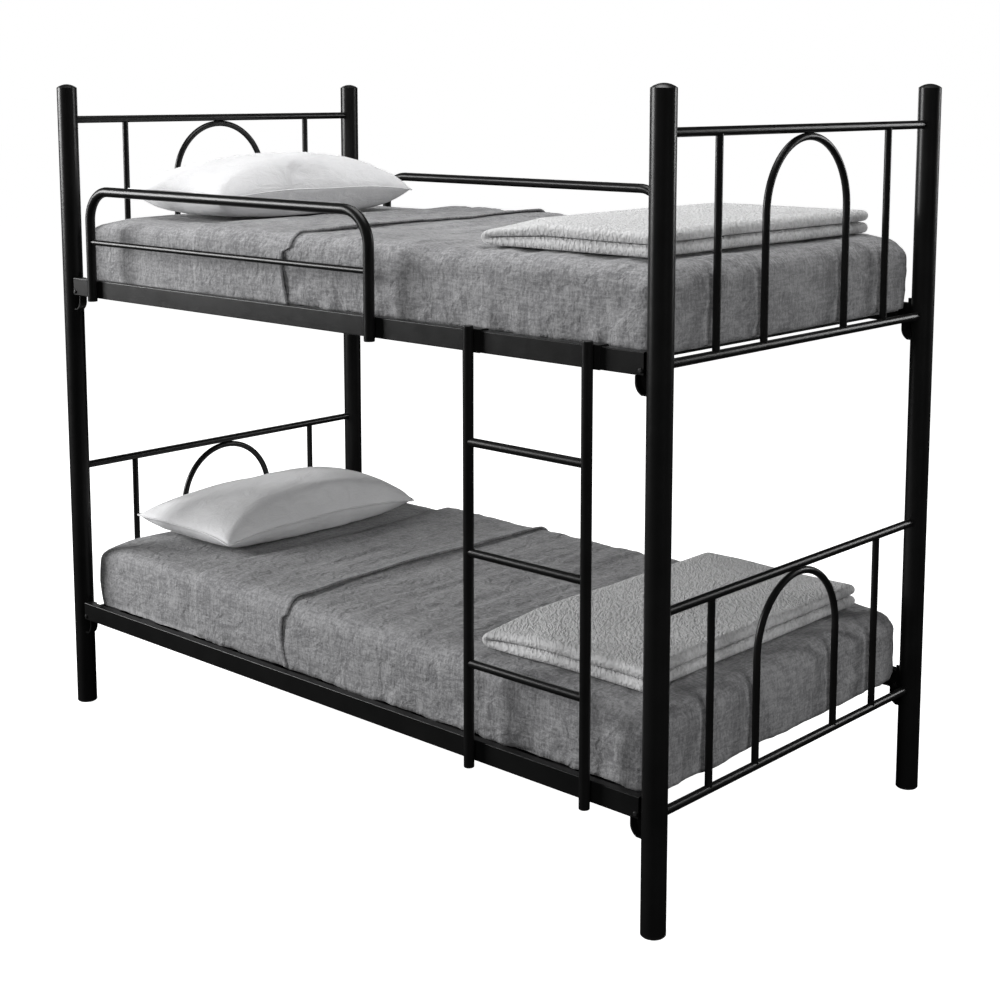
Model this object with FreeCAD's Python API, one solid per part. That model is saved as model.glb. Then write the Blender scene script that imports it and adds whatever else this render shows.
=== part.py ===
import FreeCAD, Part
import math
import os

os.makedirs("parts", exist_ok=True)

V = FreeCAD.Vector

# Twin metal bunk bed with a hook-on ladder, made up with bedding.
# Units mm, +Z up, foot end +X, ladder side -Y, origin on the floor at the centre.

# posts
POST_DX = 1952.0
POST_DY = 994.0
POST_R = 26.0
POST_WALL = 1.5
BED_HEIGHT = 1672.0
CAP_DOME = 9.0
CAP_PLUG = 22.0
GLIDE_FLANGE = 6.0
GLIDE_PLUG = 24.0
PLUG_CLEARANCE = 0.2

# end panels, one of each pair per bunk: (top rail axis, bottom rail axis)
PANEL_Z = {"upper": (1580.0, 1142.0), "lower": (654.0, 247.0)}
PANEL_RAIL_R = 9.5
PANEL_RAIL_WALL = 1.3
SPINDLE_R = 8.0
SPINDLE_WALL = 1.2
SPINDLE_Y = 318.0
ARCH_R = 152.0
ARCH_BITE = 0.8

# side rails, rectangular tube
RAIL_BASE = {"upper": 1121.0, "lower": 237.0}
RAIL_H = 46.0
RAIL_T = 20.0
RAIL_WALL = 1.5
RAIL_CORNER = 2.0
RAIL_OUTER_Y = POST_DY / 2.0 + 17.0
RAIL_INNER_Y = RAIL_OUTER_Y - RAIL_T
RAIL_END = POST_DX / 2.0 - 27.0

# corner brackets and their bolts
WEB_T = 4.0
WEB_REACH = 50.0
WEB_DROP = 39.0
WEB_RISE = 13.0
RIB_REACH = 34.0
LIP_T = 3.0
LIP_Y = RAIL_OUTER_Y - 3.0
BOLT_U = 34.0
BOLT_V = 10.0
BOLT_R = 3.0
HOLE_CLEARANCE = 0.25
BOLT_HEAD_R = 5.0
BOLT_HEAD_H = 3.5
NUT_AF = 10.0
NUT_H = 5.0

# mattress support
SUPPORT_DROP = 12.0
SLAT_W = 60.0
SLAT_H = 15.0
SLAT_WALL = 1.5
SLAT_HALF = 486.0
SLAT_COUNT = 12
SLAT_PITCH = 160.0
LEDGE_SHELF = 62.0
LEDGE_LEG = 16.0
LEDGE_T = 3.0
LEDGE_HALF = 914.0

# guard rails of the upper bunk
GUARD_R = 12.5
GUARD_WALL = 1.5
GUARD_X = (-845.0, 203.0)
GUARD_TOP = 1400.0
GUARD_FOOT = 1117.0
GUARD_BEND = 78.0
GUARD_BAR_R = 7.0
GUARD_BAR_Z = 1268.0
GUARD_Y = RAIL_OUTER_Y + GUARD_R
GUARD_BOLT_R = 3.0
GUARD_BOLT_V = 27.0
GUARD_BOLT_HEAD_R = 5.5
GUARD_BOLT_HEAD_H = 3.5

# ladder
STILE_R = 11.5
STILE_WALL = 1.5
STILE_X = (502.0, 822.0)
STILE_Y = -(RAIL_OUTER_Y + 13.5)
STILE_Z = (229.0, 1175.0)
RUNG_R = 9.5
RUNG_Z = (457.0, 698.0, 934.0)
HOOK_W = 46.0
HOOK_T = 3.5
HOOK_GAP = 0.5
HOOK_BACK = 16.0
END_PLUG = 3.0

# bedding
MATTRESS = (1914.0, 936.0, 166.0)
MATTRESS_X = -5.0
MATTRESS_CORNER = 32.0
MATTRESS_EDGE = 28.0
COVER_T = 8.0
COVER_TOP_T = 10.0
COVER_HEM = 4.0
COVER_HEAD_X = -510.0
FOLD_FOOT_X = -170.0
FOLD_T = 6.0
FOLD_CORNER = 80.0
CLOTH_GAP = 0.5
PILLOW = (402.0, 690.0)
PILLOW_HEIGHT = {"upper": 166.0, "lower": 142.0}
PILLOW_X = -761.0
PILLOW_Y = 16.0
PILLOW_EDGE = 50.0
THROW = (450.0, 820.0, 27.0)
THROW_X = 657.0
THROW_EDGE = 13.0


def save(shape, name):
    solids = shape.Solids
    body = solids[0] if len(solids) == 1 else Part.makeCompound(solids)
    body.exportStep("parts/" + name + ".step")


def box(x0, x1, y0, y1, z0, z1):
    lo = V(min(x0, x1), min(y0, y1), min(z0, z1))
    return Part.makeBox(abs(x1 - x0), abs(y1 - y0), abs(z1 - z0), lo)


def rod(start, end, radius):
    axis = end - start
    return Part.makeCylinder(radius, axis.Length, start, axis)


def tube(start, end, radius, wall):
    return rod(start, end, radius).cut(rod(start, end, radius - wall))


def ring(centre, normal, radius, wall):
    outer = Part.Face(Part.Wire(Part.makeCircle(radius, centre, normal)))
    inner = Part.Face(Part.Wire(Part.makeCircle(radius - wall, centre, normal)))
    return outer.cut(inner).Faces[0]


def weld(pieces):
    solid = pieces[0]
    for piece in pieces[1:]:
        solid = solid.fuse(piece)
    return solid.removeSplitter()


def mirror_y(shape):
    return shape.mirror(V(0, 0, 0), V(0, 1, 0))


def mirror_x(shape):
    return shape.mirror(V(0, 0, 0), V(1, 0, 0))


def all_corners(shape):
    half = [shape, mirror_x(shape)]
    return half + [mirror_y(piece) for piece in half]


def rounded_slab(size, centre, base_z, corner, edge):
    length, width, height = size
    x, y = centre
    slab = box(x - length / 2, x + length / 2, y - width / 2, y + width / 2, base_z, base_z + height)
    upright = [e for e in slab.Edges if abs(e.BoundBox.ZLength - height) < 1e-3]
    slab = slab.makeFillet(corner, upright)
    flat = [e for e in slab.Edges if e.BoundBox.ZLength < 1e-3]
    return slab.makeFillet(edge, flat)


# posts, caps and floor glides

def make_post(sx, sy):
    x = sx * POST_DX / 2
    y = sy * POST_DY / 2
    return tube(V(x, y, GLIDE_FLANGE), V(x, y, BED_HEIGHT - CAP_DOME), POST_R, POST_WALL)


def make_cap():
    x = POST_DX / 2
    y = POST_DY / 2
    seat = BED_HEIGHT - CAP_DOME
    ball_r = (POST_R ** 2 + CAP_DOME ** 2) / (2 * CAP_DOME)
    ball = Part.makeSphere(ball_r, V(x, y, BED_HEIGHT - ball_r))
    dome = ball.common(rod(V(x, y, seat), V(x, y, BED_HEIGHT + 1), POST_R))
    plug_r = POST_R - POST_WALL - PLUG_CLEARANCE
    return weld([dome, rod(V(x, y, seat - CAP_PLUG), V(x, y, seat), plug_r)])


def make_glide():
    x = POST_DX / 2
    y = POST_DY / 2
    flange = Part.makeCone(POST_R - 2.5, POST_R, 2.5, V(x, y, 0))
    collar = rod(V(x, y, 2.5), V(x, y, GLIDE_FLANGE), POST_R)
    plug_r = POST_R - POST_WALL - PLUG_CLEARANCE
    plug = rod(V(x, y, GLIDE_FLANGE), V(x, y, GLIDE_FLANGE + GLIDE_PLUG), plug_r)
    return weld([flange, collar, plug])


for x_name, sx in (("head", -1), ("foot", 1)):
    for y_name, sy in (("front", -1), ("rear", 1)):
        save(make_post(sx, sy), "post_" + x_name + "_" + y_name)
save(Part.makeCompound(all_corners(make_cap())), "post_caps")
save(Part.makeCompound(all_corners(make_glide())), "floor_glides")


# end panels

def panel_rail(x, z):
    bar = tube(V(x, -POST_DY / 2, z), V(x, POST_DY / 2, z), PANEL_RAIL_R, PANEL_RAIL_WALL)
    for sy in (-1, 1):
        bar = bar.cut(rod(V(x, sy * POST_DY / 2, z - 40), V(x, sy * POST_DY / 2, z + 40), POST_R))
    return max(bar.Solids, key=lambda s: s.Volume)


def rail_rods(x, top_z, bottom_z):
    return [rod(V(x, -480, z), V(x, 480, z), PANEL_RAIL_R) for z in (top_z, bottom_z)]


def panel_spindles(x, top_z, bottom_z):
    pair = []
    for y in (-SPINDLE_Y, SPINDLE_Y):
        bar = tube(V(x, y, bottom_z), V(x, y, top_z), SPINDLE_R, SPINDLE_WALL)
        for cutter in rail_rods(x, top_z, bottom_z):
            bar = bar.cut(cutter)
        pair.append(max(bar.Solids, key=lambda s: s.Volume))
    return Part.makeCompound(pair)


def panel_arch(x, top_z, bottom_z):
    spring = top_z - PANEL_RAIL_R - SPINDLE_R + ARCH_BITE - ARCH_R
    pieces = []
    for y in (-ARCH_R, ARCH_R):
        pieces.append(tube(V(x, y, bottom_z), V(x, y, spring), SPINDLE_R, SPINDLE_WALL))
    profile = ring(V(x, ARCH_R, spring), V(0, 0, 1), SPINDLE_R, SPINDLE_WALL)
    pieces.append(profile.revolve(V(x, 0, spring), V(1, 0, 0), 180))
    arch = weld(pieces)
    for cutter in rail_rods(x, top_z, bottom_z):
        arch = arch.cut(cutter)
    return max(arch.Solids, key=lambda s: s.Volume)


for end, sx in (("head", -1), ("foot", 1)):
    for level in ("upper", "lower"):
        x = sx * POST_DX / 2
        top_z, bottom_z = PANEL_Z[level]
        name = end + "_" + level + "_"
        save(panel_rail(x, top_z), name + "top_rail")
        save(panel_rail(x, bottom_z), name + "bottom_rail")
        save(panel_spindles(x, top_z, bottom_z), name + "spindles")
        save(panel_arch(x, top_z, bottom_z), name + "arch")


# side rails

def bolt_point(level):
    return POST_DX / 2 - BOLT_U, RAIL_BASE[level] + BOLT_V


def make_side_rail(level):
    z0 = RAIL_BASE[level]
    outer = box(-RAIL_END, RAIL_END, -RAIL_OUTER_Y, -RAIL_INNER_Y, z0, z0 + RAIL_H)
    long_edges = [e for e in outer.Edges if e.Length > 1000]
    outer = outer.makeFillet(RAIL_CORNER, long_edges)
    bore = box(-RAIL_END - 1, RAIL_END + 1, -RAIL_OUTER_Y + RAIL_WALL, -RAIL_INNER_Y - RAIL_WALL,
               z0 + RAIL_WALL, z0 + RAIL_H - RAIL_WALL)
    rail = outer.cut(bore)
    x, z = bolt_point(level)
    for sx in (-1, 1):
        rail = rail.cut(rod(V(sx * x, -RAIL_OUTER_Y - 5, z), V(sx * x, -RAIL_INNER_Y + 5, z),
                            BOLT_R + HOLE_CLEARANCE))
    if level == "upper":
        for x in GUARD_X:
            z = z0 + GUARD_BOLT_V
            rail = rail.cut(rod(V(x, -RAIL_OUTER_Y - 5, z), V(x, -RAIL_INNER_Y + 5, z),
                                GUARD_BOLT_R + HOLE_CLEARANCE))
    return rail


for level in ("upper", "lower"):
    front = make_side_rail(level)
    save(front, "side_rail_" + level + "_front")
    save(mirror_y(front), "side_rail_" + level + "_rear")


# corner brackets: upright web behind the rail end, with a rounded lip below it

def lug_profile(inset, top):
    u0 = 20.0
    u1 = WEB_REACH - inset
    drop = -WEB_DROP + inset
    bend_top = V(u1, 0, -12)
    bend_mid = V(u1 - 5, 0, drop + 9)
    bend_end = V(34, 0, drop)
    edges = [
        Part.makeLine(V(u0, 0, top), V(u1, 0, top)),
        Part.makeLine(V(u1, 0, top), bend_top),
        Part.Arc(bend_top, bend_mid, bend_end).toShape(),
        Part.makeLine(bend_end, V(u0, 0, drop)),
        Part.makeLine(V(u0, 0, drop), V(u0, 0, top)),
    ]
    return Part.Face(Part.Wire(edges))


def make_bracket(level):
    web_y = -RAIL_INNER_Y
    web = lug_profile(0.0, RAIL_H).extrude(V(0, WEB_T, 0))
    web.translate(V(0, web_y, 0))
    lip_depth = LIP_Y - RAIL_INNER_Y
    lip = lug_profile(0.0, -1.0).extrude(V(0, -lip_depth, 0))
    lip = lip.cut(lug_profile(LIP_T, 5.0).extrude(V(0, -lip_depth, 0)))
    lip.translate(V(0, web_y, 0))
    rib = box(20.0, RIB_REACH, web_y, web_y + WEB_T, RAIL_H, RAIL_H + WEB_RISE)
    lug = weld([web, lip, rib])
    lug = lug.cut(rod(V(BOLT_U, web_y - 1, BOLT_V), V(BOLT_U, web_y + WEB_T + 1, BOLT_V),
                      BOLT_R + HOLE_CLEARANCE))
    lug = lug.cut(rod(V(0, -POST_DY / 2, -80), V(0, -POST_DY / 2, 120), POST_R))
    lug = max(lug.Solids, key=lambda s: s.Volume)
    lug = lug.mirror(V(0, 0, 0), V(1, 0, 0))
    lug.translate(V(POST_DX / 2, 0, RAIL_BASE[level]))
    return lug


def make_rail_bolt(level):
    x, z = bolt_point(level)
    head = rod(V(x, -RAIL_OUTER_Y - BOLT_HEAD_H, z), V(x, -RAIL_OUTER_Y, z), BOLT_HEAD_R)
    rim = [e for e in head.Edges if abs(e.BoundBox.YMin + RAIL_OUTER_Y + BOLT_HEAD_H) < 1e-3
           and e.BoundBox.YLength < 1e-3]
    head = head.makeFillet(2.0, rim)
    shank = rod(V(x, -RAIL_OUTER_Y, z), V(x, -RAIL_INNER_Y + WEB_T + NUT_H, z), BOLT_R)
    nut_y = -RAIL_INNER_Y + WEB_T
    reach = NUT_AF / 2 / math.cos(math.radians(30))
    corners = []
    for k in range(7):
        angle = math.radians(60 * k + 30)
        corners.append(V(x + reach * math.cos(angle), nut_y, z + reach * math.sin(angle)))
    nut = Part.Face(Part.makePolygon(corners)).extrude(V(0, NUT_H, 0))
    return weld([head, shank, nut])


for level in ("upper", "lower"):
    save(Part.makeCompound(all_corners(make_bracket(level))), "rail_brackets_" + level)
bolts = []
for level in ("upper", "lower"):
    bolts.extend(all_corners(make_rail_bolt(level)))
save(Part.makeCompound(bolts), "rail_bolts")


# ledges and slats under each mattress

def slat_top(level):
    return RAIL_BASE[level] + RAIL_H - SUPPORT_DROP


def make_ledge(level):
    z1 = slat_top(level) - SLAT_H
    y0 = -RAIL_INNER_Y
    shelf = box(-LEDGE_HALF, LEDGE_HALF, y0, y0 + LEDGE_SHELF, z1 - LEDGE_T, z1)
    back = box(-LEDGE_HALF, LEDGE_HALF, y0, y0 + LEDGE_T, z1 - LEDGE_LEG, z1 - LEDGE_T)
    return weld([shelf, back])


def make_slats(level):
    z1 = slat_top(level)
    z0 = z1 - SLAT_H
    slats = []
    for k in range(SLAT_COUNT):
        x = (k - (SLAT_COUNT - 1) / 2) * SLAT_PITCH
        slat = box(x - SLAT_W / 2, x + SLAT_W / 2, -SLAT_HALF, SLAT_HALF, z0, z1)
        top_edges = [e for e in slat.Edges if e.Length > 900 and e.BoundBox.ZMin > z1 - 0.1]
        slat = slat.makeFillet(2.0, top_edges)
        hollow = box(x - SLAT_W / 2 + SLAT_WALL, x + SLAT_W / 2 - SLAT_WALL,
                     -SLAT_HALF - 1, SLAT_HALF + 1, z0 - 1, z1 - SLAT_WALL)
        slats.append(slat.cut(hollow))
    return Part.makeCompound(slats)


for level in ("upper", "lower"):
    ledge = make_ledge(level)
    save(Part.makeCompound([ledge, mirror_y(ledge)]), "slat_ledges_" + level)
    save(make_slats(level), "slats_" + level)


# guard rails

def make_guard_tube():
    y = -GUARD_Y
    x0, x1 = GUARD_X
    turn = GUARD_TOP - GUARD_BEND
    pieces = [
        tube(V(x0, y, GUARD_FOOT), V(x0, y, turn), GUARD_R, GUARD_WALL),
        tube(V(x1, y, GUARD_FOOT), V(x1, y, turn), GUARD_R, GUARD_WALL),
        tube(V(x0 + GUARD_BEND, y, GUARD_TOP), V(x1 - GUARD_BEND, y, GUARD_TOP), GUARD_R, GUARD_WALL),
    ]
    left = ring(V(x0, y, turn), V(0, 0, 1), GUARD_R, GUARD_WALL)
    pieces.append(left.revolve(V(x0 + GUARD_BEND, y, turn), V(0, 1, 0), 90))
    right = ring(V(x1, y, turn), V(0, 0, 1), GUARD_R, GUARD_WALL)
    pieces.append(right.revolve(V(x1 - GUARD_BEND, y, turn), V(0, 1, 0), -90))
    guard = weld(pieces)
    z = RAIL_BASE["upper"] + GUARD_BOLT_V
    for x in GUARD_X:
        guard = guard.cut(rod(V(x, y, z), V(x, y + 20, z), GUARD_BOLT_R + HOLE_CLEARANCE))
    return guard


def make_guard_bar():
    y = -GUARD_Y
    x0, x1 = GUARD_X
    bar = tube(V(x0, y, GUARD_BAR_Z), V(x1, y, GUARD_BAR_Z), GUARD_BAR_R, 1.2)
    for x in GUARD_X:
        bar = bar.cut(rod(V(x, y, GUARD_BAR_Z - 40), V(x, y, GUARD_BAR_Z + 40), GUARD_R))
    return max(bar.Solids, key=lambda s: s.Volume)


def make_guard_fixings():
    plugs = []
    screws = []
    y = -GUARD_Y
    z = RAIL_BASE["upper"] + GUARD_BOLT_V
    for x in GUARD_X:
        disc = rod(V(x, y, GUARD_FOOT - END_PLUG), V(x, y, GUARD_FOOT), GUARD_R)
        low_rim = [e for e in disc.Edges if e.BoundBox.ZMax < GUARD_FOOT - END_PLUG + 1e-3]
        disc = disc.makeFillet(2.0, low_rim)
        plug_r = GUARD_R - GUARD_WALL - PLUG_CLEARANCE
        plugs.append(weld([disc, rod(V(x, y, GUARD_FOOT), V(x, y, GUARD_FOOT + 12), plug_r)]))
        inner = -RAIL_INNER_Y
        head = rod(V(x, inner, z), V(x, inner + GUARD_BOLT_HEAD_H, z), GUARD_BOLT_HEAD_R)
        shank = rod(V(x, inner, z), V(x, -RAIL_OUTER_Y - 6, z), GUARD_BOLT_R)
        screws.append(weld([head, shank]))
    return plugs, screws


guard_tube = make_guard_tube()
guard_bar = make_guard_bar()
save(guard_tube, "guard_front_tube")
save(guard_bar, "guard_front_bar")
save(mirror_y(guard_tube), "guard_rear_tube")
save(mirror_y(guard_bar), "guard_rear_bar")
plugs, screws = make_guard_fixings()
save(Part.makeCompound(plugs + [mirror_y(p) for p in plugs]), "guard_plugs")
save(Part.makeCompound(screws + [mirror_y(s) for s in screws]), "guard_bolts")


# ladder

def make_stile(x):
    return tube(V(x, STILE_Y, STILE_Z[0]), V(x, STILE_Y, STILE_Z[1]), STILE_R, STILE_WALL)


def make_rung(z):
    rung = tube(V(STILE_X[0], STILE_Y, z), V(STILE_X[1], STILE_Y, z), RUNG_R, STILE_WALL)
    for x in STILE_X:
        rung = rung.cut(rod(V(x, STILE_Y, z - 40), V(x, STILE_Y, z + 40), STILE_R))
    return max(rung.Solids, key=lambda s: s.Volume)


def make_hook(x):
    rail_top = RAIL_BASE["upper"] + RAIL_H
    x0 = x - HOOK_W / 2
    x1 = x + HOOK_W / 2
    front = -RAIL_OUTER_Y - HOOK_GAP
    back = -RAIL_INNER_Y + HOOK_GAP
    plate = box(x0, x1, front - HOOK_T, front, RAIL_BASE["upper"], rail_top + HOOK_T)
    top = box(x0, x1, front - HOOK_T, back + HOOK_T, rail_top, rail_top + HOOK_T)
    tongue = box(x0, x1, back, back + HOOK_T, rail_top - HOOK_BACK, rail_top + HOOK_T)
    hook = weld([plate, top, tongue])
    creases = []
    for edge in hook.Edges:
        bb = edge.BoundBox
        if bb.XLength > HOOK_W - 1 and abs(bb.ZMin - rail_top - HOOK_T) < 1e-3:
            creases.append(edge)
    hook = hook.makeFillet(2.5, creases)
    return hook.cut(rod(V(x, STILE_Y, 1000), V(x, STILE_Y, 1300), STILE_R))


def make_stile_plug(x, z, up):
    far = z + up * END_PLUG
    disc = rod(V(x, STILE_Y, min(z, far)), V(x, STILE_Y, max(z, far)), STILE_R)
    rim = [e for e in disc.Edges if abs(e.BoundBox.ZMin - far) < 1e-3 and e.BoundBox.ZLength < 1e-3]
    disc = disc.makeFillet(2.0, rim)
    plug_r = STILE_R - STILE_WALL - PLUG_CLEARANCE
    stem = rod(V(x, STILE_Y, z), V(x, STILE_Y, z - up * 12), plug_r)
    return weld([disc, stem])


for side, x in (("head_side", STILE_X[0]), ("foot_side", STILE_X[1])):
    save(make_stile(x), "ladder_stile_" + side)
    save(make_hook(x), "ladder_hook_" + side)
for k, z in enumerate(RUNG_Z):
    save(make_rung(z), "ladder_rung_" + str(k + 1))
stile_plugs = []
for x in STILE_X:
    stile_plugs.append(make_stile_plug(x, STILE_Z[0], -1))
    stile_plugs.append(make_stile_plug(x, STILE_Z[1], 1))
save(Part.makeCompound(stile_plugs), "ladder_plugs")


# bedding

def make_cover(level):
    length, width, height = MATTRESS
    base = slat_top(level)
    gap = CLOTH_GAP
    centre = (MATTRESS_X, 0.0)
    top = height + COVER_TOP_T
    hollow = rounded_slab((length + 2 * gap, width + 2 * gap, height + gap + 40),
                          centre, base - 40, MATTRESS_CORNER + gap, MATTRESS_EDGE + gap)
    skin = rounded_slab((length + 2 * COVER_T, width + 2 * COVER_T, top + 40),
                        centre, base - 40, MATTRESS_CORNER + COVER_T, MATTRESS_EDGE + COVER_T)
    fold = rounded_slab((length + 2 * COVER_T, width + 2 * COVER_T + 2 * FOLD_T, top + FOLD_T + 40),
                        centre, base - 40, FOLD_CORNER, MATTRESS_EDGE + COVER_T + FOLD_T)
    hem = base + COVER_HEM
    far = 1200.0
    skin = skin.common(box(COVER_HEAD_X, far, -far, far, hem, hem + 400))
    fold = fold.common(box(COVER_HEAD_X, FOLD_FOOT_X, -far, far, hem, hem + 400))
    return skin.fuse(fold).cut(hollow)


def make_throw(level):
    base = slat_top(level) + MATTRESS[2] + COVER_TOP_T + CLOTH_GAP
    lower = rounded_slab(THROW, (THROW_X, 0.0), base, 30, THROW_EDGE)
    upper = rounded_slab(THROW, (THROW_X, 0.0), base + THROW[2], 30, THROW_EDGE)
    return lower.fuse(upper)


for level in ("upper", "lower"):
    base = slat_top(level)
    mattress = rounded_slab(MATTRESS, (MATTRESS_X, 0.0), base, MATTRESS_CORNER, MATTRESS_EDGE)
    save(mattress, "mattress_" + level)
    save(make_cover(level), "duvet_" + level)
    pillow_z = base + MATTRESS[2] + CLOTH_GAP
    pillow_size = (PILLOW[0], PILLOW[1], PILLOW_HEIGHT[level])
    save(rounded_slab(pillow_size, (PILLOW_X, PILLOW_Y), pillow_z, 60, PILLOW_EDGE), "pillow_" + level)
    save(make_throw(level), "throw_" + level)
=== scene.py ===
import math

import bmesh
import bpy
import numpy as np
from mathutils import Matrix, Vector, noise


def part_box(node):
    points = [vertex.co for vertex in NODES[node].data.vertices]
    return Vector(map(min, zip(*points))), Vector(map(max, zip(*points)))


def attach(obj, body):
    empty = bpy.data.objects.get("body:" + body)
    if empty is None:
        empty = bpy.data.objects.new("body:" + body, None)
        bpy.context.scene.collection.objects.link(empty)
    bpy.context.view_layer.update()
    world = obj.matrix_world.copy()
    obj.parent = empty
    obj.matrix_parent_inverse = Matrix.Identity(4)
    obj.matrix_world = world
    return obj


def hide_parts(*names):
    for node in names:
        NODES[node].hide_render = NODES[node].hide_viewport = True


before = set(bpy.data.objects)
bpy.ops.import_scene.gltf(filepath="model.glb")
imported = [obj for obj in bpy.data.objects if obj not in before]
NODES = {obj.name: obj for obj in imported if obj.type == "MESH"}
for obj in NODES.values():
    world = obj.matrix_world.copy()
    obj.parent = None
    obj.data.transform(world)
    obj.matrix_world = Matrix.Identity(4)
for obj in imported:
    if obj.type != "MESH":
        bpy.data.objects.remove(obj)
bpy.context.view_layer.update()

SCENE = bpy.context.scene
LEVELS = ("lower", "upper")

CAMERA_PLACE = (2.9233, -3.0561, 1.66213)
CAMERA_YAW, CAMERA_PITCH = 2.31565, 0.13729
CAMERA_LENS, CAMERA_SENSOR, CAMERA_SHIFT = 61.754, 36.0, -0.175
FLOOR_SIZE = 80

BED_MIDDLE = (0.1, 0.0, 0.9)
LAMPS = (
    # name, place, aim, size, power, seen in reflections
    ("key_left", (-4.2, -3.4, 2.3), BED_MIDDLE, (2.2, 2.2), 385, True),
    ("front", (2.2, -4.6, 2.0), BED_MIDDLE, (2.2, 2.0), 66, False),
    ("right", (2.7, 3.8, 2.0), (0.5, 0.0, 0.9), (0.8, 1.8), 60, True),
    ("foot", (3.5, -0.8, 1.1), (0.96, 0.0, 0.8), (1.4, 1.6), 30, False),
    ("rear_left", (-4.0, 3.4, 2.2), BED_MIDDLE, (2.6, 2.2), 48, True),
    ("overhead", (0.1, -0.1, 4.6), BED_MIDDLE, (3.0, 2.4), 142, True),
)


# ---------------------------------------------------------------- camera, floor and lights
def make_camera():
    data = bpy.data.cameras.new("camera")
    data.sensor_width = CAMERA_SENSOR
    data.lens = CAMERA_LENS
    data.shift_y = CAMERA_SHIFT
    data.clip_start, data.clip_end = 0.05, 200.0
    cam = bpy.data.objects.new("camera", data)
    SCENE.collection.objects.link(cam)
    cam.location = CAMERA_PLACE
    level = math.cos(CAMERA_PITCH)
    forward = (level * math.cos(CAMERA_YAW), level * math.sin(CAMERA_YAW), -math.sin(CAMERA_PITCH))
    cam.rotation_mode = "QUATERNION"
    cam.rotation_quaternion = Vector(forward).to_track_quat("-Z", "Y")
    bpy.context.scene.camera = cam


def area_light(name, place, target, size, power, glossy):
    data = bpy.data.lights.new(name, "AREA")
    data.shape = "RECTANGLE"
    data.size, data.size_y = size
    data.energy = power
    lamp = bpy.data.objects.new(name, data)
    lamp.location = place
    lamp.rotation_mode = "QUATERNION"
    lamp.rotation_quaternion = (Vector(target) - Vector(place)).to_track_quat("-Z", "Y")
    lamp.visible_camera = False
    lamp.visible_glossy = glossy
    SCENE.collection.objects.link(lamp)


def make_studio():
    world = bpy.data.worlds.new("studio")
    world.use_nodes = True
    sky = world.node_tree.nodes["Background"]
    sky.inputs["Color"].default_value = (1.0, 1.0, 1.0, 1.0)
    sky.inputs["Strength"].default_value = 1.0
    SCENE.world = world
    world.cycles_visibility.glossy = False
    world.cycles_visibility.diffuse = False
    SCENE.view_settings.view_transform = "Standard"
    for lamp in LAMPS:
        area_light(*lamp)
    bpy.ops.mesh.primitive_plane_add(size=FLOOR_SIZE, location=(0, 0, 0))
    floor = bpy.context.object
    floor.name = "floor"
    floor.visible_glossy = False
    floor.visible_diffuse = False
    g = Graph("studio_floor", Roughness=0.9)
    g.colour(g.ramp(g.noise((3, 3, 3), detail=4), [(0.3, (0.50,) * 3), (0.7, (0.52,) * 3)]))
    g.shader.inputs["Emission Color"].default_value = (1, 1, 1, 1)
    g.shader.inputs["Emission Strength"].default_value = 1.0
    floor.data.materials.append(g.material)


# ---------------------------------------------------------------- materials
class Graph:
    """A Principled material with short helpers for its nodes. Patterns are in metres in the piece's space."""

    def __init__(self, name, **sockets):
        self.material = bpy.data.materials.new(name)
        self.material.use_nodes = True
        self.tree = self.material.node_tree
        self.shader = self.tree.nodes["Principled BSDF"]
        for key, value in sockets.items():
            self.shader.inputs[key.replace("_", " ")].default_value = value
        self.place = self.tree.nodes.new("ShaderNodeTexCoord").outputs["Object"]
        self.normal = None

    def add(self, kind, inputs=(), **settings):
        node = self.tree.nodes.new(kind)
        for key, value in settings.items():
            setattr(node, key, value)
        for key, value in dict(inputs).items():
            if isinstance(value, bpy.types.NodeSocket):
                self.tree.links.new(value, node.inputs[key])
            else:
                node.inputs[key].default_value = value
        return node

    def mapped(self, scale, turn=(0, 0, 0), shift=(0, 0, 0)):
        turned = self.add("ShaderNodeMapping", {"Vector": self.place, "Rotation": turn, "Location": shift})
        return self.add("ShaderNodeMapping", {"Vector": turned.outputs[0], "Scale": scale}).outputs[0]

    def noise(self, scale, turn=(0, 0, 0), shift=(0, 0, 0), detail=2.0, rough=0.5, distortion=0.0):
        vector = self.mapped(scale, turn, shift)
        values = {"Vector": vector, "Scale": 1.0}
        values.update({"Detail": detail, "Roughness": rough, "Distortion": distortion})
        return self.add("ShaderNodeTexNoise", values).outputs[0]

    def math(self, operation, a, b=0.0):
        return self.add("ShaderNodeMath", {0: a, 1: b}, operation=operation).outputs[0]

    def ramp(self, value, stops):
        node = self.add("ShaderNodeValToRGB", {"Fac": value})
        elements = node.color_ramp.elements
        for i, (at, colour) in enumerate(stops):
            element = elements[i] if i < 2 else elements.new(at)
            element.position = at
            element.color = (*colour, 1.0)
        return node.outputs["Color"]

    def span(self, value, low, high, start=0.0, end=1.0):
        inputs = {"Value": value, 1: start, 2: end, 3: low, 4: high}
        return self.add("ShaderNodeMapRange", inputs).outputs[0]

    def colour(self, socket):
        self.tree.links.new(socket, self.shader.inputs["Base Color"])

    def rough(self, socket):
        self.tree.links.new(socket, self.shader.inputs["Roughness"])

    def bump(self, height, strength, distance):
        inputs = {"Height": height, "Strength": strength, "Distance": distance}
        if self.normal:
            inputs["Normal"] = self.normal
        self.normal = self.add("ShaderNodeBump", inputs).outputs[0]
        self.tree.links.new(self.normal, self.shader.inputs["Normal"])


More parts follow.
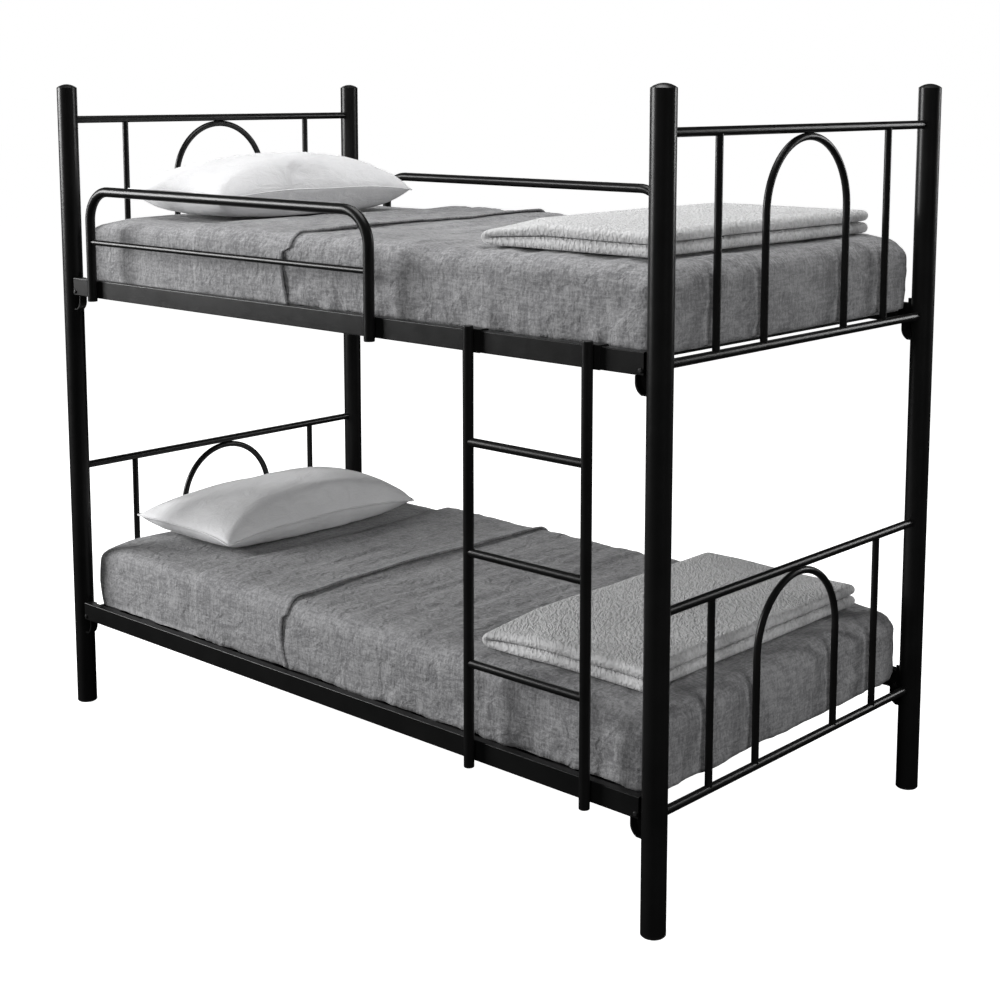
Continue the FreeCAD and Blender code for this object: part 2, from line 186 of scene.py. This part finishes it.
def powder_coat(name, dark, light, gloss, peel=0.25):
    g = Graph(name, Specular_IOR_Level=0.21)
    clouds = g.noise((9, 9, 9), detail=5, rough=0.6)
    g.colour(g.ramp(clouds, [(0.3, (dark,) * 3), (0.75, (light,) * 3)]))
    g.rough(g.span(g.noise((26, 26, 26), detail=4, rough=0.65), gloss - 0.015, gloss + 0.03, 0.3, 0.7))
    g.bump(g.noise((620, 620, 620), detail=2), peel, 0.0004)
    g.bump(g.noise((45, 45, 45), detail=2), 0.08, 0.002)
    return g.material


def chambray(name, dark, light):
    """Grey linen and cotton weave: light and dark threads along the length, width and height of the cloth."""
    g = Graph(name, Roughness=0.88, Sheen_Weight=0.12, Sheen_Roughness=0.5, Specular_IOR_Level=0.2)
    long = g.noise((26, 170, 170), detail=3, rough=0.75)
    wide = g.noise((170, 26, 170), detail=3, rough=0.75)
    tall = g.noise((170, 170, 26), detail=3, rough=0.75)
    threads = g.math("ADD", g.math("ADD", long, wide), tall)
    slubs = g.noise((430, 430, 430), detail=1)
    cloud = g.noise((14, 14, 14), detail=5, rough=0.7, distortion=0.6)
    value = g.math("MULTIPLY", g.math("SUBTRACT", threads, 1.5), 1.5)
    value = g.math("ADD", value, g.math("MULTIPLY", g.math("SUBTRACT", slubs, 0.5), 0.4))
    value = g.math("ADD", value, g.math("MULTIPLY", g.math("SUBTRACT", cloud, 0.5), 1.1))
    value = g.math("ADD", value, 0.5)
    middle = tuple((a + b) / 2 for a, b in zip(dark, light))
    g.colour(g.ramp(value, [(0.2, dark), (0.8, light), (0.5, middle)]))
    g.bump(g.math("MULTIPLY", threads, 0.5), 0.35, 0.0014)
    g.bump(g.noise((52, 52, 52), detail=3, rough=0.6, distortion=1.4), 0.4, 0.008)
    g.bump(g.noise((17, 17, 17), detail=3, rough=0.5, distortion=1.8), 0.5, 0.014)
    return g.material


def cotton(name):
    g = Graph(name, Roughness=0.85, Sheen_Weight=0.15, Sheen_Roughness=0.5, Specular_IOR_Level=0.25)
    weave = g.math("ADD", g.noise((30, 700, 500), detail=1), g.noise((700, 30, 500), detail=1))
    cloud = g.noise((10, 10, 10), detail=4)
    value = g.math("ADD", g.math("MULTIPLY", weave, 0.25), g.math("MULTIPLY", cloud, 0.5))
    g.colour(g.ramp(value, [(0.35, (0.63, 0.63, 0.64)), (0.65, (0.71, 0.71, 0.715))]))
    g.bump(weave, 0.12, 0.0008)
    g.bump(g.noise((26, 15, 26), detail=5, rough=0.62, distortion=1.1), 0.34, 0.012)
    return g.material


def matelasse(name):
    """Light grey quilted cloth: short slanted ribs that break up, with painted shade in the dips between them
    and painted light on the crests.
    """
    g = Graph(name, Roughness=0.9, Sheen_Weight=0.2, Sheen_Roughness=0.5, Specular_IOR_Level=0.2)
    ribs = g.noise((180, 62, 105), turn=(0, 0, -0.64), detail=1.0, rough=0.4, distortion=0.5)
    fine = g.noise((420, 420, 420), detail=1)
    cloud = g.noise((9, 9, 9), detail=3)
    height = g.span(ribs, 0.0, 1.0, 0.34, 0.64)
    value = g.math("ADD", g.math("MULTIPLY", height, 0.32), g.math("MULTIPLY", fine, 0.25))
    value = g.math("ADD", value, g.math("MULTIPLY", cloud, 0.3))
    # colour follows rib height: painted shade in the dips and painted light on the crests, on top of the rib
    # bump
    painted_shade_dip, painted_light_crest, flat = (0.36, 0.36, 0.363), (0.56, 0.56, 0.563), (0.48, 0.48, 0.483)
    g.colour(g.ramp(value, [(0.15, painted_shade_dip), (0.72, painted_light_crest), (0.42, flat)]))
    g.bump(height, 0.6, 0.0032)
    g.bump(fine, 0.2, 0.0006)
    return g.material


# ---------------------------------------------------------------- mesh helpers
def new_piece(name, verts, faces, material):
    mesh = bpy.data.meshes.new(name)
    mesh.from_pydata([tuple(v) for v in verts], [], faces)
    mesh.update()
    mesh.polygons.foreach_set("use_smooth", [True] * len(mesh.polygons))
    obj = bpy.data.objects.new(name, mesh)
    SCENE.collection.objects.link(obj)
    if material:
        mesh.materials.append(material)
    return obj


def apply_modifiers(obj):
    mesh = bpy.data.meshes.new_from_object(obj.evaluated_get(bpy.context.evaluated_depsgraph_get()))
    obj.modifiers.clear()
    obj.data = mesh


def outward(obj):
    bm = bmesh.new()
    bm.from_mesh(obj.data)
    bmesh.ops.recalc_face_normals(bm, faces=bm.faces)
    bm.to_mesh(obj.data)
    bm.free()


def coords(obj):
    out = np.empty(len(obj.data.vertices) * 3)
    obj.data.vertices.foreach_get("co", out)
    return out.reshape(-1, 3)


def set_coords(obj, values):
    obj.data.vertices.foreach_set("co", np.asarray(values, float).ravel())
    obj.data.update()


def wave(points, scale, seed=0.0, octaves=3):
    """Smooth noise from -1 to 1 at each point, stretched by scale."""
    sx, sy, sz = scale
    places = (Vector((p[0] * sx + seed, p[1] * sy - seed, p[2] * sz + seed)) for p in points)
    return np.array([noise.fractal(place, 1.0, 2.0, octaves) for place in places])


# ---------------------------------------------------------------- the bedding's shape
CENTRE_X = -0.005
LONG, WIDE, TALL = 0.955, 0.467, 0.166
PLAN_R, EDGE_R = 0.032, 0.027
SHOULDER, SHOULDER_REACH = 0.009, 0.12
CORNER_DROOP, CORNER_REACH = 0.026, 0.13
TUCK = 0.004


def shape(box_points, lift):
    """Moves points of the mattress's square-cornered box, grown by lift, to its rounded, crowned form."""
    a, b, h, r, plan_r = LONG + lift, WIDE + lift, TALL + lift, EDGE_R + lift, PLAN_R + lift
    p = np.array(box_points, float)
    low = np.minimum(p[:, 2], h - r)
    inner = np.stack([np.clip(p[:, 0], -(a - r), a - r), np.clip(p[:, 1], -(b - r), b - r), low], 1)
    away = p - inner
    size = np.linalg.norm(away, axis=1)
    out = size > 1e-9
    q = p.copy()
    q[out] = inner[out] + away[out] / size[out, None] * r
    u = np.maximum(np.abs(q[:, 0]) - (a - plan_r), 0)
    v = np.maximum(np.abs(q[:, 1]) - (b - plan_r), 0)
    both = (u > 0) & (v > 0)
    s = np.ones(len(q))
    s[both] = np.maximum(u[both], v[both]) / np.hypot(u[both], v[both])
    for axis, half, part in ((0, a, u), (1, b, v)):
        q[both, axis] = np.sign(q[both, axis]) * (half - plan_r + part[both] * s[both])
    nx, ny = np.sign(q[:, 0]) * u * s, np.sign(q[:, 1]) * v * s
    n = np.hypot(nx, ny)
    n[n == 0] = 1
    near = np.maximum(np.maximum(np.abs(q[:, 0]) - a, np.abs(q[:, 1]) - b), n * (n < 1) - plan_r)
    depth = np.clip(-near / SHOULDER_REACH, 0, 1)
    q[:, 2] -= SHOULDER * (1 - depth) ** 2 * np.clip(q[:, 2] / h, 0, 1) ** 2
    corner = np.clip((np.abs(q[:, 0]) - a) / CORNER_REACH + 1, 0, 1)
    corner *= np.clip((np.abs(q[:, 1]) - b) / CORNER_REACH + 1, 0, 1)
    q[:, 2] -= CORNER_DROOP * corner**1.3 * np.clip(q[:, 2] / h, 0, 1) ** 2
    tuck = TUCK * np.clip(1 - q[:, 2] / 0.07, 0, 1) ** 2
    q[:, 0] -= nx / n * tuck
    q[:, 1] -= ny / n * tuck
    return q


def mattress_mesh(step=0.016):
    """A closed box grid with square corners, for shape()."""
    nx, ny, nz = round(2 * LONG / step), round(2 * WIDE / step), round(TALL / step)
    index, verts, faces = {}, [], []

    def at(i, j, k):
        if (i, j, k) not in index:
            index[(i, j, k)] = len(verts)
            verts.append((-LONG + 2 * LONG * i / nx, -WIDE + 2 * WIDE * j / ny, TALL * k / nz))
        return index[(i, j, k)]

    for i in range(nx):
        for j in range(ny):
            for k in (0, nz):
                faces.append([at(i, j, k), at(i + 1, j, k), at(i + 1, j + 1, k), at(i, j + 1, k)])
    for k in range(nz):
        for i in range(nx):
            for j in (0, ny):
                faces.append([at(i, j, k), at(i + 1, j, k), at(i + 1, j, k + 1), at(i, j, k + 1)])
        for j in range(ny):
            for i in (0, nx):
                faces.append([at(i, j, k), at(i, j + 1, k), at(i, j + 1, k + 1), at(i, j, k + 1)])
    return verts, faces


def base_of(level):
    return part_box("mattress_" + level)[0].z


def make_mattress(level, material):
    verts, faces = mattress_mesh()
    seed = 3.1 if level == "upper" else 9.7
    q = shape(verts, 0.0)
    side = np.clip((np.abs(q[:, 1]) - WIDE + 0.05) / 0.05, 0, 1)
    low = np.clip(1 - q[:, 2] / 0.12, 0, 1)
    pucker = 0.005 * low * wave(q, (24, 3, 10), seed) + 0.003 * wave(q, (6, 6, 9), seed + 2)
    q[:, 1] += np.sign(q[:, 1]) * side * pucker
    end = np.clip((np.abs(q[:, 0]) - LONG + 0.05) / 0.05, 0, 1)
    q[:, 0] += np.sign(q[:, 0]) * end * 0.003 * wave(q, (3, 9, 9), seed + 5)
    full = np.sin(math.pi * np.clip(q[:, 2] / TALL, 0, 1)) * np.clip((np.abs(q[:, 1]) - 0.33) / 0.06, 0, 1)
    q[:, 0] -= 0.012 * full * np.clip((-q[:, 0] - LONG + 0.05) / 0.05, 0, 1)
    q[:, 2] += 0.0025 * wave(q, (7, 4, 1), seed) * (q[:, 2] > 0.02)
    q[:, 2] = np.maximum(q[:, 2], 0.0)
    q += (CENTRE_X, 0.0, base_of(level))
    obj = new_piece("mattress_in_fitted_sheet_" + level, q, faces, material)
    outward(obj)
    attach(obj, "bedding_" + level)
    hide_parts("mattress_" + level)
    return obj


FOLD_X = {"lower": -0.508, "upper": -0.480}
HEM_X = {"lower": -0.172, "upper": -0.132}
HEM_Z = 0.006
STEP = 0.0105
CLOTH = 0.0045
SIDE_LIMIT = 0.4842
COVER_LIFT, BAND_LIFT = 0.0060, 0.0125


def cover_mesh(fold_x, hem_x):
    """The cover as one open sheet on a square-cornered box: the turned-back band, the fold, the main part
    and the foot drop. Returns box points, the lift of each and the faces."""
    nz = round((TALL - HEM_Z) / STEP)
    ny = round(2 * WIDE / STEP)
    across = [(-1, HEM_Z + (TALL - HEM_Z) * k / nz, None) for k in range(nz)]
    across += [(0, None, -WIDE + 2 * WIDE * j / ny) for j in range(ny + 1)]
    across += [(1, TALL - (TALL - HEM_Z) * (k + 1) / nz, None) for k in range(nz)]
    n_main = round((LONG - fold_x) / STEP)
    n_band = round((hem_x - fold_x) / STEP)
    rows = [(hem_x - (hem_x - fold_x) * i / n_band, BAND_LIFT) for i in range(n_band + 1)]
    rows += [(fold_x + (LONG - fold_x) * i / n_main, COVER_LIFT) for i in range(n_main + 1)]
    verts, lifts, faces = [], [], []
    for x, lift in rows:
        for side, z, y in across:
            foot = LONG + lift if x >= LONG - 1e-9 else x
            flat_y = side * (WIDE + lift) if side else max(-1, min(1, y / WIDE)) * (WIDE + lift)
            verts.append((foot, flat_y, z if side else TALL + lift))
            lifts.append(lift)
    w = len(across)
    for i in range(len(rows) - 1):
        for j in range(w - 1):
            faces.append([i * w + j, (i + 1) * w + j, (i + 1) * w + j + 1, i * w + j + 1])
    last = (len(rows) - 1) * w
    above = [last + nz + j for j in range(ny + 1)]
    for k in range(nz):
        z = TALL - (TALL - HEM_Z) * (k + 1) / nz
        below = []
        for j in range(ny + 1):
            if j == 0:
                below.append(last + nz - 1 - k)
            elif j == ny:
                below.append(last + nz + ny + 1 + k)
            else:
                verts.append((LONG + COVER_LIFT, (-1 + 2 * j / ny) * (WIDE + COVER_LIFT), z))
                lifts.append(COVER_LIFT)
                below.append(len(verts) - 1)
        faces += [[above[j], below[j], below[j + 1], above[j + 1]] for j in range(ny)]
        above = below
    return np.array(verts), np.array(lifts), faces


def ridged(points, scale, seed):
    """Creases: sharp crests between wide shallow troughs, from -1 to 1."""
    return 1 - 4 * np.abs(wave(points, scale, seed, 2)).clip(0, 0.5)


def make_cover(level, material):
    fold_x, hem_x = FOLD_X[level] - CENTRE_X, HEM_X[level] - CENTRE_X
    points, lifts, faces = cover_mesh(fold_x, hem_x)
    q = points.copy()
    for lift in (COVER_LIFT, BAND_LIFT):
        pick = lifts == lift
        q[pick] = shape(points[pick], lift)
    seed = 5.3 if level == "upper" else 1.9
    band = lifts == BAND_LIFT
    top = np.clip((q[:, 2] - 0.11) / 0.05, 0, 1)
    height = np.clip(q[:, 2] / TALL, 0, 1)
    flank = np.clip((np.abs(q[:, 1]) - WIDE + 0.03) / 0.03, 0, 1)
    foot = np.clip((q[:, 0] - LONG + 0.03) / 0.03, 0, 1)
    creases = ridged(q + 0.02 * wave(q, (4, 3, 3), seed + 1)[:, None], (13, 1.7, 2), seed)
    q[:, 2] += top * (0.0026 * creases + 0.0030 * wave(q, (5, 5, 5), seed + 4))
    sag = np.clip(1 - q[:, 2] / 0.085, 0, 1)
    hang = 0.0028 * wave(q, (5, 5, 6), seed + 6)
    hang += (0.007 - 0.0038 * foot) * sag * ridged(q, (9, 9, 2.5), seed + 8)
    hang += 0.0022 * ridged(q, (7, 7, 12), seed + 3) * (1 - top)
    pleat = np.clip((q[:, 0] - LONG + 0.03 + 0.10 * (1 - height)) / 0.012, 0, 1)
    hang += 0.0048 * pleat * flank * (1 - foot)
    grown = np.where(band, 0.35, 1.0) * (1 - top) * hang
    q[:, 0] += foot * np.clip(grown, -0.005, 0.006)
    q[:, 1] += np.sign(q[:, 1]) * flank * (1 - foot) * grown
    edge = (1 - height) ** 3 * (0.006 - 0.003 * foot) * np.maximum(flank, foot)
    q[:, 2] += edge * wave(q, (8, 8, 0.1), seed + 9)
    near_hem = band * np.clip(1 - (hem_x - points[:, 0]) / (hem_x - fold_x), 0, 1)
    y = q[:, 1] / WIDE
    bow = np.sin(math.pi * np.clip(1.1 - height, 0, 1))
    if level == "lower":
        shift = np.where(top > 0.5, 0.027 * y**2, 0.024 - 0.017 * bow)
    else:
        shift = np.where(top > 0.5, -0.022 * y, 0.008 * np.sign(-y) - 0.016 * bow)
    q[:, 0] += near_hem**2 * shift
    proud = 0.0058 * near_hem**16
    q[:, 2] += proud * top
    q[:, 1] += np.sign(q[:, 1]) * flank * (1 - top) * proud
    q[:, 1] = np.clip(q[:, 1], -SIDE_LIMIT, SIDE_LIMIT)
    q += (CENTRE_X, 0.0, base_of(level))
    obj = new_piece("cover_" + level, q, faces, material)
    outward(obj)
    thick = obj.modifiers.new("thickness", "SOLIDIFY")
    thick.thickness = CLOTH
    thick.offset = 1.0
    apply_modifiers(obj)
    obj.data.polygons.foreach_set("use_smooth", [True] * len(obj.data.polygons))
    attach(obj, "bedding_" + level)
    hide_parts("duvet_" + level)
    return obj


# ---------------------------------------------------------------- pillow
CASE_WIDTH, CASE_LENGTH, CASE_VOLUME = 0.475, 0.735, 0.0210
CASE_STEP = 0.0145
PUFF_FRAMES = 30
PIPING_R = 0.0022


def pillow_mesh(length, width):
    """A flat closed case with a little bulge. Returns points, faces and the ring of seam points."""
    nx, ny = round(width / CASE_STEP), round(length / CASE_STEP)
    verts, faces, index = [], [], {}
    for side in (1, -1):
        for i in range(nx + 1):
            for j in range(ny + 1):
                edge = i in (0, nx) or j in (0, ny)
                if edge and side < 0:
                    index[(side, i, j)] = index[(1, i, j)]
                    continue
                u, v = 2 * i / nx - 1, 2 * j / ny - 1
                bulge = 0.0 if edge else 0.012 * (1 - u**4) * (1 - v**4)
                index[(side, i, j)] = len(verts)
                verts.append((u * width / 2, v * length / 2, side * bulge))
        for i in range(nx):
            for j in range(ny):
                ring = [(i, j), (i + 1, j), (i + 1, j + 1), (i, j + 1)]
                faces.append([index[(side, *c)] for c in (ring if side > 0 else ring[::-1])])
    seam = [index[(1, i, 0)] for i in range(nx)] + [index[(1, nx, j)] for j in range(ny)]
    seam += [index[(1, i, ny)] for i in range(nx, 0, -1)] + [index[(1, 0, j)] for j in range(ny, 0, -1)]
    return verts, faces, seam


def inflate(obj, frames, volume):
    """Blows a closed case up to a volume with the Cloth modifier, weightless, and applies the result."""
    mod = obj.modifiers.new("cloth", "CLOTH")
    s = mod.settings
    s.quality = 6
    s.mass = 0.1
    s.tension_stiffness = s.compression_stiffness = 15.0
    s.shear_stiffness = 5.0
    s.bending_stiffness = 0.4
    s.air_damping = 1.0
    s.effector_weights.gravity = 0.0
    s.use_pressure = True
    s.uniform_pressure_force = 0.0
    s.use_pressure_volume = True
    s.target_volume = volume
    mod.collision_settings.use_collision = False
    mod.collision_settings.use_self_collision = False
    mod.point_cache.frame_start, mod.point_cache.frame_end = 1, frames
    for f in range(1, frames + 1):
        SCENE.frame_set(f)
    apply_modifiers(obj)
    SCENE.frame_set(1)


def plump(u, v):
    """How full a stuffed case is at a share of its half width and half length."""
    return (1 - np.clip(u, 0, 1) ** 2.4) ** 0.6 * (1 - np.clip(v, 0, 1) ** 3.0) ** 0.6


def ease(q, seam):
    """Draws the seams half-way back to straight lines between the corners and fills the hollows there."""
    out = q.copy()
    shares = []
    for axis in (0, 1):
        other = 1 - axis
        span, along = np.abs(q[seam][:, axis]), np.abs(q[seam][:, other])
        pick = span / span.max() > along / along.max()
        order = np.argsort(along[pick])
        half = np.interp(np.abs(q[:, other]), along[pick][order], span[pick][order])
        out[:, axis] *= 1 + 0.5 * (span.max() / half - 1)
        shares.append(np.abs(q[:, axis]) / half)
    full = plump(*shares) * np.abs(q[:, 2]).max()
    out[:, 2] = 0.55 * q[:, 2] + 0.45 * np.sign(q[:, 2]) * full
    return out


def pillow_form():
    """The pillow's points, faces and seam, blown up from a flat case about its seam plane."""
    verts, faces, seam = pillow_mesh(CASE_LENGTH, CASE_WIDTH)
    obj = new_piece("pillow_form", verts, faces, None)
    outward(obj)
    inflate(obj, PUFF_FRAMES, CASE_VOLUME)
    set_coords(obj, ease(coords(obj), seam))
    q, mesh_faces = coords(obj), [list(f.vertices) for f in obj.data.polygons]
    bpy.data.objects.remove(obj)
    return q, mesh_faces, seam


def tube_along(points, radius, sides=6):
    """A closed ring of tube through the points."""
    pts = np.array(points)
    n = len(pts)
    ahead = np.roll(pts, -1, 0) - np.roll(pts, 1, 0)
    ahead /= np.linalg.norm(ahead, axis=1)[:, None]
    up = np.array([0, 0, 1.0])
    side = np.cross(ahead, up)
    side /= np.linalg.norm(side, axis=1)[:, None]
    other = np.cross(side, ahead)
    verts, faces = [], []
    for i in range(n):
        for k in range(sides):
            t = 2 * math.pi * k / sides
            verts.append(pts[i] + radius * (math.cos(t) * side[i] + math.sin(t) * other[i]))
    for i in range(n):
        for k in range(sides):
            a, b = i * sides, ((i + 1) % n) * sides
            faces.append([a + k, a + (k + 1) % sides, b + (k + 1) % sides, b + k])
    return verts, faces


def make_pillow(level, form, material):
    q, faces, seam = form
    q = q.copy()
    if level == "upper":
        q[:, 1] = -q[:, 1]
        faces = [f[::-1] for f in faces]
    lo, hi = (np.array(c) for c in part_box("pillow_" + level))
    size = hi - lo
    q[:, :2] *= size[:2] / (q[:, :2].max(0) - q[:, :2].min(0))
    above = np.clip(q[:, 2] / q[:, 2].max(), 0, 1)
    below = np.clip(q[:, 2] / q[:, 2].min(), 0, 1)
    crown = (0.58 if level == "upper" else 0.64) * size[2]
    rest = size[2] - crown
    corner = (np.abs(q[:, 0]) * 2 / size[0]) ** 3 * (np.abs(q[:, 1]) * 2 / size[1]) ** 3
    q[:, 2] = crown * above - rest * np.tanh(2.2 * below) / math.tanh(2.2)
    loose = (1 - np.maximum(above, below)) ** 2
    q[:, 2] += loose * (0.004 - corner * (0.011 + 0.009 * q[:, 0] / (size[0] / 2)))
    seed = 4.4 if level == "upper" else 8.1
    u, v = np.abs(q[:, 0]) * 2 / size[0], np.abs(q[:, 1]) * 2 / size[1]
    pull = np.clip((u - 0.3) / 0.35, 0, 1) * ridged(q, (2, 17, 2), seed)
    pull += np.clip((v - 0.55) / 0.25, 0, 1) * ridged(q, (17, 2, 2), seed + 3)
    q[:, 2] += (0.0026 * wave(q, (7, 7, 7), seed) + 0.0030 * pull * (1 - above)) * above
    q[:, 2] += 0.0022 * pull * below * (1 - below)
    q[:, :2] += (lo[:2] + hi[:2]) / 2 - (q[:, :2].min(0) + q[:, :2].max(0)) / 2
    q[:, 2] += lo[2] - q[:, 2].min()
    ring, ring_faces = tube_along(q[seam], PIPING_R)
    count = len(q)
    faces = faces + [[i + count for i in f] for f in ring_faces]
    obj = new_piece("pillow_%s_soft" % level, list(q) + list(ring), faces, material)
    outward(obj)
    smooth = obj.modifiers.new("smooth", "SUBSURF")
    smooth.levels = smooth.render_levels = 1
    apply_modifiers(obj)
    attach(obj, "pillow_%s_body" % level)
    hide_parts("pillow_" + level)
    return obj


# ---------------------------------------------------------------- throw
def throw_mesh(width, length, height, step=0.011):
    """A thick cloth folded once: two layers, a round fold on the head side and round open edges."""
    half = height / 4 - 0.0006
    ring = []
    rise = height / 4 + 0.0001
    n_long = round((width - 2 * half) / step)
    inner_end, fold_x = width / 2 - half, -width / 2 + 2 * half + 0.001
    path = [(inner_end - (inner_end - fold_x) * i / n_long, -rise) for i in range(n_long + 1)]
    turns = 7
    bends = [math.pi * k / turns for k in range(1, turns)]
    path += [(fold_x - rise * math.sin(t), -rise * math.cos(t)) for t in bends]
    path += [(fold_x + (inner_end - fold_x) * i / n_long, rise) for i in range(n_long + 1)]
    path = np.array(path)
    direction = np.gradient(path, axis=0)
    direction /= np.linalg.norm(direction, axis=1)[:, None]
    normal = np.stack([-direction[:, 1], direction[:, 0]], 1)
    cap = 5
    outline = [(i, 1.0, 0.0) for i in range(len(path))]
    for k in range(1, cap):
        outline.append((len(path) - 1, math.cos(math.pi * k / cap), math.sin(math.pi * k / cap)))
    outline += [(i, -1.0, 0.0) for i in range(len(path) - 1, -1, -1)]
    for k in range(1, cap):
        outline.append((0, -math.cos(math.pi * k / cap), -math.sin(math.pi * k / cap)))
    n_wide = round((length - 2 * half) / step)
    quarter = [math.pi / 2 * k / 4 for k in range(4)]
    stations = [(-length / 2 + half * (1 - math.cos(t)), math.sin(t)) for t in quarter]
    body = [(-length / 2 + half + (length - 2 * half) * j / n_wide, 1.0) for j in range(n_wide + 1)]
    ends = [(-y, s) for y, s in reversed(stations)]
    stations = stations + body + ends
    verts, faces = [], []
    for y, s in stations:
        s = max(s, 0.08)
        for i, side, along in outline:
            p = path[i] + half * s * (side * normal[i] + along * direction[i])
            verts.append((p[0], y, p[1]))
    m = len(outline)
    for j in range(len(stations) - 1):
        for i in range(m):
            faces.append([j * m + i, j * m + (i + 1) % m, (j + 1) * m + (i + 1) % m, (j + 1) * m + i])
    count = len(path)
    for end in (0, (len(stations) - 1) * m):
        partner = [count + cap - 1 + count - 1 - i for i in range(count)]
        faces += [[end + i, end + i + 1, end + partner[i + 1], end + partner[i]] for i in range(count - 1)]
        faces.append([end + i for i in range(count - 1, count + cap)])
        faces.append([end + i % m for i in range(m - cap, m + 1)])
    return verts, faces


def make_throw(level, material):
    lo, hi = (np.array(c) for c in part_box("throw_" + level))
    size, middle = hi - lo, (hi + lo) / 2
    verts, faces = throw_mesh(size[0], size[1], size[2])
    q = np.array(verts)
    seed = 2.2 if level == "upper" else 7.4
    sway = 0.004 * wave(q, (3.2, 2.6, 0.5), seed, 2)
    q[:, 2] += sway * np.clip((q[:, 2] + size[2] / 2) / size[2], 0, 1)
    q[:, 1] += 0.006 * wave(q, (5, 0.3, 14), seed + 3, 2)
    q[:, 0] += 0.004 * wave(q, (0.3, 5, 14), seed + 6, 2)
    tip = np.clip(1 - np.hypot(q[:, 0] + size[0] / 2, q[:, 1] + size[1] / 2) / 0.16, 0, 1)
    q[:, 2] = -size[2] / 2 + (q[:, 2] + size[2] / 2) * (1 - 0.4 * tip)
    q[:, :2] -= 0.007 * tip[:, None]
    q += middle
    obj = new_piece("throw_%s_folded" % level, q, faces, material)
    outward(obj)
    smooth = obj.modifiers.new("smooth", "SUBSURF")
    smooth.levels = smooth.render_levels = 1
    apply_modifiers(obj)
    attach(obj, "throw_%s_body" % level)
    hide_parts("throw_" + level)
    return obj


# ---------------------------------------------------------------- build
make_camera()
make_studio()

FINISH = {
    "black_powder_coat": powder_coat("satin_black_powder_coat", 0.005, 0.008, 0.31),
    "support_steel": powder_coat("dull_black_steel", 0.007, 0.012, 0.48),
    "black_fastener": powder_coat("black_oxide_bolts", 0.010, 0.018, 0.40, 0.1),
    "black_plastic": powder_coat("moulded_black_plastic", 0.009, 0.014, 0.30, 0.15),
}
for node in NODES.values():
    for part in node.material_slots:
        if part.material and part.material.name in FINISH:
            part.material = FINISH[part.material.name]

SHEET = chambray("grey_chambray_sheet", (0.17, 0.17, 0.175), (0.30, 0.30, 0.305))
COVER = chambray("grey_chambray_cover", (0.16, 0.16, 0.165), (0.29, 0.29, 0.295))
PILLOWCASE = cotton("white_cotton_case")
THROW = matelasse("light_grey_matelasse")
PILLOW = pillow_form()
for name in LEVELS:
    mattress = make_mattress(name, SHEET)
    make_cover(name, COVER)
    make_pillow(name, PILLOW, PILLOWCASE)
    make_throw(name, THROW)
